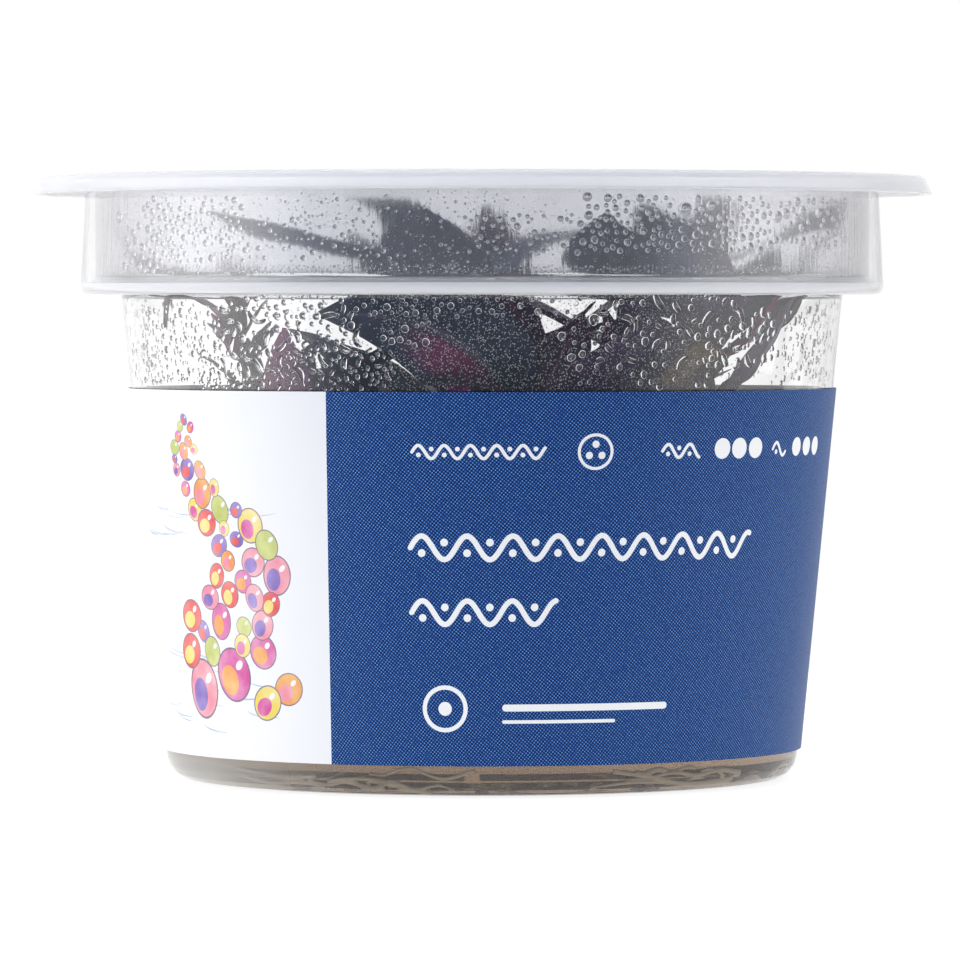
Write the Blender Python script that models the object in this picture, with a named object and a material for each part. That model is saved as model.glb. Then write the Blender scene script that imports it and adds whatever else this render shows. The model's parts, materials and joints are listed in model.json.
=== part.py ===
"""Young alternanthera plants in a clear culture cup: cup, lid, label, nutrient gel, stems and leaves.

Metres, +Z up. The origin is on the table under the middle of the cup, and the front of the label
faces -Y. Each leaf is grown from its stem and slides along the wall of the cup where it meets it.
"""

import math
import random

import bmesh
import bpy
from mathutils import Vector
from mathutils.bvhtree import BVHTree

MM = 0.001
GAP = 0.3 * MM  # air left between pieces that touch in life
SEGMENTS = 48  # facets round everything that is turned
WELD = 0.001 * MM  # points nearer than this are one
SHARP_ANGLE = math.radians(35)  # edges sharper than this stay sharp when shaded

# Cup
FOOT_CORNER = 3.0 * MM  # outer radius of the rounded foot
FOOT_INNER = 29.0 * MM  # where the raised middle of the bottom begins
FOOT_STEP = 0.8 * MM  # how far the middle of the bottom is raised
FOOT_SLOPE = 1.2 * MM  # width of the slope up to it
FOOT_STEPS = 4  # facets along the rounded foot
FLOOR = 0.5 * MM  # thickness of the bottom
WALL = 1.0 * MM
WALL_LOW = (37.56 * MM, FOOT_CORNER)  # outer radius and height just above the foot
WALL_HIGH = (42.87 * MM, 57.7 * MM)  # outer radius and height under the collar
SHOULDER_TOP = 58.9 * MM
COLLAR_OUTER = 46.0 * MM
COLLAR_INNER = 45.2 * MM
COLLAR_CORNER = 0.9 * MM
RIM_TOP = 70.1 * MM

# Lid
LID_TOP = 71.4 * MM
LID_PLATE = 1.0 * MM
LID_PANEL_TOP = 70.3 * MM  # the sunk middle of the lid
LID_PANEL_PLATE = 0.9 * MM
LID_PANEL_RADIUS = 43.6 * MM
LID_PLUG_RADIUS = 44.9 * MM
BRIM_TOP_RADIUS = 52.7 * MM
BRIM_LOW_RADIUS = 53.5 * MM
BRIM_BOTTOM = 69.2 * MM
BRIM_LIP = 0.8 * MM
BRIM_CHAMFER = 0.4 * MM
SKIRT_TOP_RADIUS = 47.1 * MM
SKIRT_LOW_RADIUS = 47.7 * MM
SKIRT_INNER_TOP = 46.3 * MM
SKIRT_INNER_LOW = 46.6 * MM
SKIRT_BOTTOM = 57.4 * MM
SKIRT_CORNER = 0.9 * MM

# Label
LABEL_LOW = 3.6 * MM
LABEL_HIGH = 46.3 * MM
LABEL_GAP = 0.2 * MM
LABEL_THICK = 0.2 * MM
LABEL_OPEN_FACETS = 1  # facets left bare at the back, where the ends of the film meet

# Nutrient gel
GEL_TOP = 12.0 * MM
SOCKET_DEPTH = 4.0 * MM
SOCKET_SIDES = 10

# Stems: where each stands in the gel, and where its tip is, in millimetres
STEM_SIDES = 8
STEM_RINGS = 8
STEM_LOW_RADIUS = 0.85 * MM
STEM_TIP_RADIUS = 0.5 * MM
STEM_RISE = 12 * MM  # how far a stem climbs straight before it begins to lean
STEM_FINISH = 14 * MM  # how far below its tip it turns upright again
STEMS = (
    ((-13, -13), (-18, -28, 50)),
    ((2, -17), (5, -31, 47)),
    ((17, -10), (27, -20, 56)),
    ((14, 11), (26, 15, 60)),
    ((-1, 18), (3, 30, 56)),
    ((-16, 8), (-30, 11, 58)),
    ((0, 0), (-3, -2, 60)),
)

# Leaves
LEAF_LIMIT = 49  # in all
LEAF_THICK = 0.5 * MM
LEAF_STEP = 0.5 * MM  # length of one step of growth
LEAF_ROWS = (0.0, 0.1, 0.26, 0.46, 0.66, 0.86, 1.0)
LEAF_STEP_CLEAR = 1.0 * MM  # height above the step in the wall where leaves may begin to widen
LEAF_WIDENING = 7.0 * MM  # height over which they reach the collar
LEAF_CLEAR = 1.0 * MM  # room that a growing leaf keeps to the wall and the lid
LEAF_FOLD = 0.14  # depth of the fold along the midrib, as a share of the half width
BLADE_FULLNESS = 0.8  # under 1, the blade is fuller towards its ends
STALK_HALF = 0.45 * MM
TIP_HALF = 0.3 * MM
TURN_SHARE = 0.6  # how fast the upper face may turn from one row to the next
WALL_PULL = 2.0  # how strongly it turns away from the wall beside it
WALL_SLIDE = 3.0 * MM  # how near the wall a leaf begins to bend along it
WALL_FACING = 5.0 * MM  # how near the wall its upper face begins to look inwards
CEILING = LID_PANEL_TOP - LID_PANEL_PLATE  # underside of the lid
CEILING_EASE = 2.5 * MM  # how far below it a leaf begins to level out
GEL_EASE = 3.0 * MM  # how far above the gel a leaf stops sinking
CURVE_STEPS = 80  # points read from a placed leaf's curve
SEEDS = (71, 28, 48, 75, 11, 63, 85)  # one for each stem
TURNS = (0, 14, -14, 28, -28, 42, -42, 56, -56, 70, -70, 84, -84)
INSETS = (0, 1, 2, 3, 4, 5, 6, 7, 8)  # further in from the wall, in millimetres
NODE_SLIPS = (0, -0.06, 0.05, -0.12, -0.2)  # along the stem, as shares of it
NARROWINGS = (1.0, 0.84, 0.7)

# Opposite pairs up each stem: places as shares of the stem, lengths in millimetres, angles in
# degrees
PAIRS_PER_STEM = (2, 2, 2, 3, 3, 1, 3)
FIRST_PAIR = 0.56
LAST_PAIR = 0.93
PAIR_SHIFT = 0.03
LENGTHS = (28, 23)  # of the lowest and the highest leaves
LENGTH_SHIFT = 3
WIDTH_SHARES = (0.38, 0.46)
RISES = (30, 60)
DROOPS = (0, 50)

# Leaves placed one by one, most of them against the front of the cup: the stem, the place of the
# node as a share of the stem, the middle and the tip of the leaf as (degrees round from the front,
# height, distance in from the wall), and the width. Lengths are in millimetres.
PLACED_LEAVES = (
    (1, 0.95, (-6, 53.0, 1.0), (-27, 55.2, 1.0), 13.0),
    (1, 0.80, (-7, 48.4, 1.0), (-20, 52.0, 1.0), 7.0),
    (0, 0.92, (-27, 49.6, 1.0), (-39, 50.8, 1.5), 10.0),
    (6, 0.82, (2, 52.4, 9.0), (1, 59.9, 1.6), 12.0),
    (1, 0.98, (12, 50.6, 2.2), (22, 56.6, 1.4), 9.0),
    (1, 0.84, (20, 47.4, 2.6), (29, 54.0, 2.6), 10.0),
    (2, 0.52, (33, 46.9, 1.0), (43, 50.8, 1.0), 6.5),
    (2, 0.95, (33, 55.4, 3.0), (48, 54.8, 2.0), 6.5),
    (2, 0.66, (53, 49.6, 2.4), (67, 57.6, 2.4), 6.0),
    (2, 0.86, (57, 53.4, 1.0), (64, 58.0, 1.0), 4.0),
    (5, 0.90, (-66, 58.9, 3.0), (-64, 53.2, 1.0), 4.0),
    (3, 0.97, (80, 66.6, 3.0), (67, 62.4, 1.0), 5.0),
    (5, 0.97, (-81, 60.6, 1.6), (-84, 66.2, 1.0), 4.5),
    (6, 0.93, (-14, 63.4, 18.0), (-10, 67.3, 6.0), 13.0),
    (6, 0.99, (-52, 63.4, 17.0), (-58, 66.8, 8.0), 11.0),
    (3, 0.93, (30, 62.4, 14.0), (22, 66.8, 6.0), 13.0),
    (5, 0.78, (-34, 50.0, 12.0), (-20, 56.0, 9.0), 13.0),
    (5, 0.66, (-46, 47.0, 9.0), (-31, 52.0, 5.0), 11.0),
    (3, 0.72, (44, 49.0, 14.0), (30, 56.0, 12.0), 12.0),
    (3, 0.85, (52, 61.0, 12.0), (46, 66.0, 7.0), 10.0),
)


def material(name, colour, roughness, alpha=1.0):
    made = bpy.data.materials.new(name)
    made.use_nodes = True
    shader = made.node_tree.nodes["Principled BSDF"]
    shader.inputs["Base Color"].default_value = (*colour, 1.0)
    shader.inputs["Roughness"].default_value = roughness
    shader.inputs["Metallic"].default_value = 0.0
    shader.inputs["Alpha"].default_value = alpha
    made.diffuse_color = (*colour, alpha)
    return made


def add_object(name, mesh, look):
    mesh.materials.append(look)
    made = bpy.data.objects.new(name, mesh)
    bpy.context.scene.collection.objects.link(made)
    return made


def wall_radius(z):
    """Outer radius of the tapered wall at a height."""
    share = (z - WALL_LOW[1]) / (WALL_HIGH[1] - WALL_LOW[1])
    return WALL_LOW[0] + share * (WALL_HIGH[0] - WALL_LOW[0])


def inside_radius(z):
    """Radius of the space inside the tapered wall at a height."""
    return wall_radius(z) - WALL


def leaf_room(z):
    """Radius that leaves may fill: they widen into the collar only well above its step."""
    rise = (z - SHOULDER_TOP - LEAF_STEP_CLEAR) / LEAF_WIDENING
    share = min(max(rise, 0.0), 1.0)
    return inside_radius(min(z, SHOULDER_TOP)) * (1 - share) + COLLAR_INNER * share


def arc(centre, radius, start, end, steps):
    """Points in (radius, height) on an arc, its ends in degrees."""
    points = []
    for step in range(steps + 1):
        angle = math.radians(start + (end - start) * step / steps)
        points.append((centre[0] + radius * math.cos(angle), centre[1] + radius * math.sin(angle)))
    return points


def turned(name, outline, look):
    """A solid turned round the cup's axis from an outline that starts and ends on it."""
    mesh = bpy.data.meshes.new(name)
    body = bmesh.new()
    ring = [body.verts.new((radius, 0.0, height)) for radius, height in outline]
    edges = [body.edges.new(pair) for pair in zip(ring, ring[1:])]
    bmesh.ops.spin(
        body,
        geom=ring + edges,
        cent=(0, 0, 0),
        axis=(0, 0, 1),
        angle=math.tau,
        steps=SEGMENTS,
        use_merge=True,
    )
    bmesh.ops.remove_doubles(body, verts=body.verts, dist=WELD)
    bmesh.ops.recalc_face_normals(body, faces=body.faces)
    body.to_mesh(mesh)
    body.free()
    mesh.shade_smooth()
    mesh.set_sharp_from_angle(angle=SHARP_ANGLE)
    return add_object(name, mesh, look)


def foot_arc(inset, lift, steps):
    """The rounded corner between bottom and wall, set in from the wall and up from the bottom.

    Its upper end meets the wall, which leans out by its own slope.
    """
    lean = math.degrees(math.atan2(WALL_HIGH[0] - WALL_LOW[0], WALL_HIGH[1] - WALL_LOW[1]))
    middle = WALL_LOW[0] - FOOT_CORNER / math.cos(math.radians(lean))
    across = FOOT_CORNER - inset
    down = FOOT_CORNER - lift
    return [(middle + across * x, FOOT_CORNER + down * z) for x, z in arc((0, 0), 1, -90, -lean, steps)]


def build_cup(look):
    outer = [(0, FOOT_STEP), (FOOT_INNER, FOOT_STEP), (FOOT_INNER + FOOT_SLOPE, 0)]
    outer += foot_arc(0, 0, FOOT_STEPS)
    outer += [(WALL_HIGH[0], WALL_HIGH[1])]
    corner = (COLLAR_OUTER - COLLAR_CORNER, WALL_HIGH[1] + COLLAR_CORNER)
    outer += arc(corner, COLLAR_CORNER, -90, 0, 2)
    outer += [(COLLAR_OUTER, RIM_TOP)]
    inner_low = inside_radius(SHOULDER_TOP - WALL)
    inner = [(COLLAR_INNER, RIM_TOP), (COLLAR_INNER, SHOULDER_TOP)]
    inner += [(inner_low + WALL / 2, SHOULDER_TOP), (inner_low, SHOULDER_TOP - WALL / 2)]
    inner += reversed(foot_arc(WALL, FLOOR, FOOT_STEPS))
    inner += [(FOOT_INNER + FOOT_SLOPE, FLOOR), (FOOT_INNER, FLOOR + FOOT_STEP), (0, FLOOR + FOOT_STEP)]
    return turned("cup", outer + inner, look)


def build_lid(look):
    plate_low = LID_TOP - LID_PLATE
    top = [(0, LID_PANEL_TOP), (LID_PANEL_RADIUS, LID_PANEL_TOP), (LID_PANEL_RADIUS + BRIM_CHAMFER, LID_TOP)]
    top += [(BRIM_TOP_RADIUS - BRIM_CHAMFER, LID_TOP), (BRIM_TOP_RADIUS, LID_TOP - BRIM_CHAMFER)]
    brim = [(BRIM_LOW_RADIUS, BRIM_BOTTOM), (BRIM_LOW_RADIUS - BRIM_LIP, BRIM_BOTTOM)]
    brim += [(BRIM_TOP_RADIUS - BRIM_LIP, plate_low), (SKIRT_TOP_RADIUS, plate_low)]
    corner = (SKIRT_LOW_RADIUS - SKIRT_CORNER, SKIRT_BOTTOM + SKIRT_CORNER)
    skirt = list(reversed(arc(corner, SKIRT_CORNER, -90, 0, 3)))
    skirt += [(SKIRT_INNER_LOW, SKIRT_BOTTOM), (SKIRT_INNER_TOP, plate_low)]
    under = [(LID_PLUG_RADIUS, plate_low), (LID_PLUG_RADIUS, CEILING), (0, CEILING)]
    return turned("lid", top + brim + skirt + under, look)


def build_label(look):
    """A thin film on the wall, open by one facet at the back (+Y)."""
    mesh = bpy.data.meshes.new("label")
    body = bmesh.new()
    columns = []
    steps = SEGMENTS - LABEL_OPEN_FACETS
    for step in range(steps + 1):
        angle = math.radians(90) + math.tau * (step + LABEL_OPEN_FACETS) / SEGMENTS
        column = []
        for height, thick in ((LABEL_LOW, 0), (LABEL_LOW, 1), (LABEL_HIGH, 1), (LABEL_HIGH, 0)):
            radius = wall_radius(height) + LABEL_GAP + thick * LABEL_THICK
            column.append(body.verts.new((radius * math.cos(angle), radius * math.sin(angle), height)))
        columns.append(column)
    for left, right in zip(columns, columns[1:]):
        for side in range(4):
            following = (side + 1) % 4
            body.faces.new((left[side], right[side], right[following], left[following]))
    body.faces.new(columns[0])
    body.faces.new(reversed(columns[-1]))
    bmesh.ops.recalc_face_normals(body, faces=body.faces)
    body.to_mesh(mesh)
    body.free()
    return add_object("label", mesh, look)


def build_gel(look):
    """The gel, with a socket for each stem cut by a Boolean."""
    floor = FLOOR + FOOT_STEP + GAP
    outline = [(0, floor), (FOOT_INNER, floor), (FOOT_INNER + FOOT_SLOPE, FLOOR + GAP)]
    outline += foot_arc(WALL + GAP, FLOOR + GAP, FOOT_STEPS)
    outline += [(inside_radius(GEL_TOP) - GAP, GEL_TOP), (0, GEL_TOP)]
    gel = turned("nutrient_gel", outline, look)
    for number, (stand, tip) in enumerate(STEMS, start=1):
        bpy.ops.mesh.primitive_cylinder_add(
            vertices=SOCKET_SIDES,
            radius=STEM_LOW_RADIUS + 2 * GAP,
            depth=2 * (SOCKET_DEPTH + GAP),
            location=(stand[0] * MM, stand[1] * MM, GEL_TOP),
        )
        cutter = bpy.context.object
        cutter.name = f"socket_cutter_{number}"
        cutter.hide_render = True
        cutter.display_type = "WIRE"
        cut = gel.modifiers.new(f"socket_{number}", "BOOLEAN")
        cut.operation = "DIFFERENCE"
        cut.object = cutter
    return gel


def stem_point(stem, share):
    """A point on a stem: straight up out of the gel, then in a curve to its tip."""
    stand, tip = STEMS[stem]
    low = Vector((stand[0] * MM, stand[1] * MM, GEL_TOP - SOCKET_DEPTH))
    above = Vector((stand[0] * MM, stand[1] * MM, GEL_TOP + STEM_RISE))
    top = Vector(tip) * MM
    before = top - Vector((0, 0, STEM_FINISH))
    rest = 1 - share
    return low * rest**3 + above * 3 * rest**2 * share + before * 3 * rest * share**2 + top * share**3


def build_stem(stem, look):
    mesh = bpy.data.meshes.new(f"stem_{stem + 1}")
    body = bmesh.new()
    rings = []
    for ring in range(STEM_RINGS):
        share = ring / (STEM_RINGS - 1)
        centre = stem_point(stem, share)
        radius = STEM_LOW_RADIUS + share * (STEM_TIP_RADIUS - STEM_LOW_RADIUS)
        points = []
        for side in range(STEM_SIDES):
            angle = math.tau * side / STEM_SIDES
            points.append(body.verts.new(centre + Vector((math.cos(angle), math.sin(angle), 0)) * radius))
        rings.append(points)
    for low, high in zip(rings, rings[1:]):
        for side in range(STEM_SIDES):
            following = (side + 1) % STEM_SIDES
            body.faces.new((low[side], low[following], high[following], high[side]))
    body.faces.new(reversed(rings[0]))
    body.faces.new(rings[-1])
    body.to_mesh(mesh)
    body.free()
    mesh.shade_smooth()
    return add_object(mesh.name, mesh, look)


def outward(point):
    """Horizontal direction from the cup's axis to a point."""
    flat = Vector((point.x, point.y, 0))
    return flat.normalized() if flat.length > 0.1 * MM else Vector((0, -1, 0))


def grow(start, heading, rise, droop, length):
    """Centre line of a leaf: it bends by its own weight, and slides along wall, lid and gel."""
    up = Vector((0, 0, 1))
    flat = Vector((math.cos(heading), math.sin(heading), 0))
    points = [start]
    count = int(length / LEAF_STEP)
    for step in range(count):
        tilt = rise - droop * step / count
        direction = flat * math.cos(tilt) + up * math.sin(tilt)
        here = points[-1]
        out = outward(here)
        room = leaf_room(here.z + LEAF_STEP) - LEAF_CLEAR - math.hypot(here.x, here.y)
        push = direction.dot(out)
        if room < WALL_SLIDE and push > 0:
            share = 1 - max(room, 0) / WALL_SLIDE
            direction += (up - out) * push * share
        if here.z > CEILING - CEILING_EASE and direction.z > 0:
            direction.z *= max(CEILING - LEAF_CLEAR - here.z, 0) / CEILING_EASE
        if here.z < GEL_TOP + GEL_EASE and direction.z < 0:
            direction.z = 0
        direction.normalize()
        points.append(here + direction * LEAF_STEP)
    return points


def near_wall(degrees, height, inset):
    """A point at an angle round from the front, a height and a distance in from the wall."""
    radius = leaf_room(height * MM) - inset * MM
    angle = math.radians(degrees)
    return Vector((radius * math.sin(angle), -radius * math.cos(angle), height * MM))


def reach(stem, share, middle, tip, inset):
    """Centre line of a leaf from a stem through its middle to its tip, in even steps."""
    node = stem_point(stem, share)
    through = near_wall(middle[0], middle[1], middle[2] + inset)
    end = near_wall(tip[0], tip[1], tip[2] + inset)
    side = through - node
    side.z = 0
    start = node + side.normalized() * (STEM_LOW_RADIUS + GAP)
    bend = 2 * through - (start + end) / 2
    rough = []
    for step in range(CURVE_STEPS + 1):
        t = step / CURVE_STEPS
        rough.append(start * (1 - t) ** 2 + bend * 2 * t * (1 - t) + end * t**2)
    points = [rough[0]]
    for point in rough[1:]:
        if (point - points[-1]).length >= LEAF_STEP:
            points.append(point)
    return points


def half_width(share, width):
    """Lance-shaped blade on a short stalk."""
    blade = math.sin(math.pi * share**BLADE_FULLNESS) ** BLADE_FULLNESS if 0 < share < 1 else 0
    least = STALK_HALF if share < 0.5 else TIP_HALF
    return max(least, blade * width / 2)


def kept_inside(point, spare):
    """The point, moved to where the leaf stays clear of the wall, the gel and the lid.

    What is spare is left for the fold of the blade.
    """
    room = GAP + LEAF_THICK + spare
    height = min(point.z, CEILING - room)
    height = max(height, GEL_TOP + room)
    limit = leaf_room(height - LEAF_THICK - spare) - room
    distance = math.hypot(point.x, point.y)
    scale = min(1.0, limit / distance) if distance > 0 else 1.0
    return Vector((point.x * scale, point.y * scale, height))


def leaf_rows(path, width):
    """Rows of (left edge, midrib, right edge) and the direction that the upper face looks in.

    The upper face looks up and back to the stem, or in from the wall where the leaf lies on it,
    and from the tip to the stalk it turns only gradually.
    """
    up = Vector((0, 0, 1))
    heading = path[-1] - path[0]
    heading.z = 0
    heading.normalize()
    last = len(path) - 1
    rows = []
    face = None
    for share in reversed(LEAF_ROWS):
        spot = round(share * last)
        centre = path[spot]
        along = (path[min(spot + 1, last)] - path[max(spot - 1, 0)]).normalized()
        out = outward(centre)
        room = leaf_room(centre.z) - math.hypot(centre.x, centre.y)
        close = max(0.0, 1 - room / WALL_FACING)
        aim = (up - heading) * (1 - close) - out * WALL_PULL * close
        aim = aim.normalized() if face is None else aim.normalized() * TURN_SHARE + face
        face = (aim - along * aim.dot(along)).normalized()
        half = half_width(share, width)
        across = along.cross(face) * half
        fold = half * LEAF_FOLD
        left, middle, right = (
            kept_inside(point, fold) for point in (centre - across, centre, centre + across)
        )
        rows.append(([left, middle - face * fold, right], face))
    rows.reverse()
    return rows


def leaf_solid(rows, thick):
    """Vertices and triangles of a closed blade round the rows.

    The upper and the lower side are parted along the same diagonals, so that they stay apart
    where the blade twists.
    """
    vertices = []
    for points, face in rows:
        vertices += [point + face * thick / 2 for point in points]
        vertices += [point - face * thick / 2 for point in points]
    faces = []
    order = (0, 1, 2, 5, 4, 3)
    for row in range(len(rows) - 1):
        low = row * 6
        for place, corner in enumerate(order):
            following = order[(place + 1) % 6]
            a, b, c, d = low + corner, low + following, low + 6 + following, low + 6 + corner
            upper = place < 3
            faces += [(a, b, c), (a, c, d)] if upper else [(a, b, d), (b, c, d)]
    last = (len(rows) - 1) * 6
    for a, b, c, d in ((0, 3, 4, 1), (1, 4, 5, 2), (last, last + 1, last + 4, last + 3),
                       (last + 1, last + 2, last + 5, last + 4)):
        faces += [(a, b, c), (a, c, d)]
    return vertices, faces


def meets_itself(vertices, faces):
    """True where two faces that share no corner cross."""
    tree = BVHTree.FromPolygons(vertices, faces)
    return any(not set(faces[one]) & set(faces[two]) for one, two in tree.overlap(tree))


def build_leaf(name, rows, look):
    vertices, faces = leaf_solid(rows, LEAF_THICK)
    mesh = bpy.data.meshes.new(name)
    mesh.from_pydata(vertices, [], faces)
    body = bmesh.new()
    body.from_mesh(mesh)
    bmesh.ops.recalc_face_normals(body, faces=body.faces)
    body.to_mesh(mesh)
    body.free()
    mesh.shade_smooth()
    return add_object(name, mesh, look)


def first_free(trials, taken):
    """The first of the trial leaves that stays clear of everything already there."""
    for rows in trials:
        thick = leaf_solid(rows, LEAF_THICK + 2 * GAP)
        tree = BVHTree.FromPolygons(*thick)
        if not meets_itself(*thick) and not any(tree.overlap(other) for other in taken):
            taken.append(BVHTree.FromPolygons(*leaf_solid(rows, LEAF_THICK)))
            return rows
    return None


def build_leaves(looks, stems):
    """The leaves placed one by one first. Then opposite pairs up each stem, each pair turned a
    quarter from the last, and each leaf turned further where its neighbours leave it no room."""
    counts = [0] * len(STEMS)
    taken = []
    for stem in stems:
        corners = [vertex.co for vertex in stem.data.vertices]
        taken.append(BVHTree.FromPolygons(corners, [tuple(face.vertices) for face in stem.data.polygons]))

    def add_leaf(stem, trials):
        rows = first_free(trials, taken)
        if rows is not None and sum(counts) < LEAF_LIMIT:
            counts[stem] += 1
            build_leaf(f"leaf_{stem + 1}_{counts[stem]}", rows, looks[counts[stem] % len(looks)])

    for stem, share, middle, tip, width in PLACED_LEAVES:
        trials = (
            leaf_rows(reach(stem, min(share + slip, 1), middle, tip, inset), width * narrowing * MM)
            for narrowing in NARROWINGS
            for inset in INSETS
            for slip in NODE_SLIPS
        )
        add_leaf(stem, trials)
    for stem, pairs in enumerate(PAIRS_PER_STEM):
        dice = random.Random(SEEDS[stem])
        turn = dice.uniform(0, math.pi)
        for pair in range(pairs):
            climb = pair / max(pairs - 1, 1)
            share = FIRST_PAIR + (LAST_PAIR - FIRST_PAIR) * climb + dice.uniform(-PAIR_SHIFT, PAIR_SHIFT)
            node = stem_point(stem, share)
            for side in (0, 1):
                mean = LENGTHS[0] + (LENGTHS[1] - LENGTHS[0]) * climb
                length = (mean + dice.uniform(-LENGTH_SHIFT, LENGTH_SHIFT)) * MM
                width = length * dice.uniform(*WIDTH_SHARES)
                rise = math.radians(dice.uniform(*RISES))
                droop = math.radians(dice.uniform(*DROOPS))
                trials = []
                for extra in TURNS:
                    way = turn + math.pi * side + math.radians(extra)
                    start = node + Vector((math.cos(way), math.sin(way), 0)) * (STEM_LOW_RADIUS + GAP)
                    trials.append(leaf_rows(grow(start, way, rise, droop, length), width))
                add_leaf(stem, trials)
            turn += math.pi / 2


def main():
    for thing in list(bpy.data.objects):
        bpy.data.objects.remove(thing, do_unlink=True)
    clear = material("clear plastic", (0.9, 0.91, 0.94), 0.08, alpha=0.35)
    film = material("printed film", (0.02, 0.06, 0.22), 0.45)
    gel_look = material("nutrient gel", (0.42, 0.34, 0.24), 0.2, alpha=0.8)
    stem_look = material("stem", (0.26, 0.12, 0.10), 0.5)
    leaf_looks = [
        material("leaf upper", (0.05, 0.07, 0.04), 0.4),
        material("leaf lilac", (0.16, 0.03, 0.09), 0.4),
    ]
    build_cup(clear)
    build_lid(clear)
    build_label(film)
    build_gel(gel_look)
    stems = [build_stem(stem, stem_look) for stem in range(len(STEMS))]
    build_leaves(leaf_looks, stems)


main()
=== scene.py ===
"""The looks of young alternanthera plants in a lidded culture cup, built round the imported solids."""

import json
import random
from itertools import combinations, product
from math import cos, exp, hypot, pi, radians, sin, tan, tau

import bmesh
import bpy
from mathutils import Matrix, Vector, geometry
from mathutils.bvhtree import BVHTree

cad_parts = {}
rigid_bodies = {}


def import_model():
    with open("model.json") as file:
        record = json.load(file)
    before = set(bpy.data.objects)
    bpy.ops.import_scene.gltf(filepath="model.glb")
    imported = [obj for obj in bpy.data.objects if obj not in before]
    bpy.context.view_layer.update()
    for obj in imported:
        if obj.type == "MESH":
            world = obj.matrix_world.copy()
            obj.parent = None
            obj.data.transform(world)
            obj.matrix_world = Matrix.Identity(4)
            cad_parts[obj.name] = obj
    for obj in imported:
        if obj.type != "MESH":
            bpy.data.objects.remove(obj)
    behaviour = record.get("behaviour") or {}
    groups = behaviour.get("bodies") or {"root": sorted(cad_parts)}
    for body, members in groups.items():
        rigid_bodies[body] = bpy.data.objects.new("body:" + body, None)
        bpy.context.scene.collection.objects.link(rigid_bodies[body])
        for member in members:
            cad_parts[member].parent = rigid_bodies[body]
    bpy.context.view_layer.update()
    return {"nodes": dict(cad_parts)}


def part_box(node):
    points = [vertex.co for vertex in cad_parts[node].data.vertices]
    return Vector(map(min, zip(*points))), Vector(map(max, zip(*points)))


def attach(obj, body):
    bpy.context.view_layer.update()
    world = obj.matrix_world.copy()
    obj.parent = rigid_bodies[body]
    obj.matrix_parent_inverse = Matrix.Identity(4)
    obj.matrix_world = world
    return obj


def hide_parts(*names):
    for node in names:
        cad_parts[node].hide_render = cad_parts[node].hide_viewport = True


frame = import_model()

MM = 0.001
SEED = 5

# Camera: level with the foot of the collar
EYE_DISTANCE = 857 * MM
EYE_HEIGHT = 56.7 * MM
AIM = Vector((-0.24 * MM, 0, 35.3 * MM))
LENS = 270

# Strength of the soft light round the cup: least from behind the camera, most from the sides
FRONT_LIGHT = 0.42
FRONT_COLOUR = (0.66, 0.76, 1.0)
SIDE_LIGHT = 1.85
BACK_LIGHT = 1.02
LEFT_SHARE = 0.28  # how much stronger it is from the left, and weaker from the right
FRONT_SPAN = (-0.82, -0.25)  # Y of the direction, from the front light to the side light
BACK_SPAN = (0.0, 0.6)  # and on to the back light
BOUNCES = 24

# Floor: a disc small enough to stay out of the wall's reflection
TABLE_RADIUS = 260 * MM
TABLE_DROP = 0.2 * MM

# Turned pieces
SEGMENTS = 192
FILLET = 0.45 * MM
FILLET_STEPS = 4
FLAT_TURN = radians(9)  # corners that turn by less aren't eased
GRIP = 0.3 * MM  # from the end of a long line to the ring that keeps its shading flat
COLLAR_FOG = 12.8 * MM  # how far down from the rim the cup is fogged
CLEAR_TINT = (0.994, 0.994, 0.998)
MILKY_TINT = (0.985, 0.985, 1.0)
FOG_TINT = (0.972, 0.972, 1.0)
BRIM_DEPTH = 2.4 * MM  # how far down from its top the lid is milky
SHOULDER = (57.2 * MM, 59.2 * MM)  # heights between which the cup is milky
FLOW = 0.02  # strength of the flow lines in the plastic

# Leaves
LEAF_ROWS = 7  # rows of corners in a leaf's solid
LEAF_LENGTHS = 30  # rows along a leaf
LEAF_WIDTHS = 12  # columns across it
LEAF_THICK = 0.32 * MM
VEIN_PAIRS = 8
VEIN_RELIEF = 0.07 * MM
MARGIN_WAVE = 0.22 * MM
MARGIN_PACE = 19  # of the wave along the margin
BLADE_CROWN = 0.25 * MM
# Kinds of leaf: the seen leaves that have it, colours of the upper side, the underside and the
# veins, and of a streak on one half
LEAF_KINDS = {
    "dark": ("1_1 2_3 6_3 7_1", (0.018, 0.042, 0.046), (0.11, 0.018, 0.062), (0.12, 0.05, 0.085)),
    "slate": ("2_4 3_2 3_3 6_4", (0.036, 0.052, 0.086), (0.085, 0.045, 0.095), (0.14, 0.11, 0.15)),
    "dusk": ("3_5 4_1 4_2 4_4 7_2 7_3 7_9", (0.075, 0.085, 0.15), (0.10, 0.075, 0.15), (0.14, 0.12, 0.20)),
    "streaked": ("2_1", (0.036, 0.052, 0.086), (0.038, 0.05, 0.082), (0.12, 0.10, 0.14), (0.24, 0.03, 0.115)),
    "olive": ("3_1", (0.12, 0.098, 0.026), (0.13, 0.07, 0.034), (0.14, 0.12, 0.05)),
    "plum": ("4_3", (0.06, 0.03, 0.07), (0.22, 0.03, 0.13), (0.22, 0.07, 0.15)),
    "magenta": ("2_2 3_4", (0.42, 0.02, 0.19), (0.50, 0.03, 0.26), (0.45, 0.08, 0.27)),
    "brown": ("6_1 6_2", (0.125, 0.078, 0.055), (0.13, 0.065, 0.055), (0.17, 0.11, 0.08)),
}
OTHER_LEAVES = "dark slate plum dark olive plum slate".split()

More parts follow.
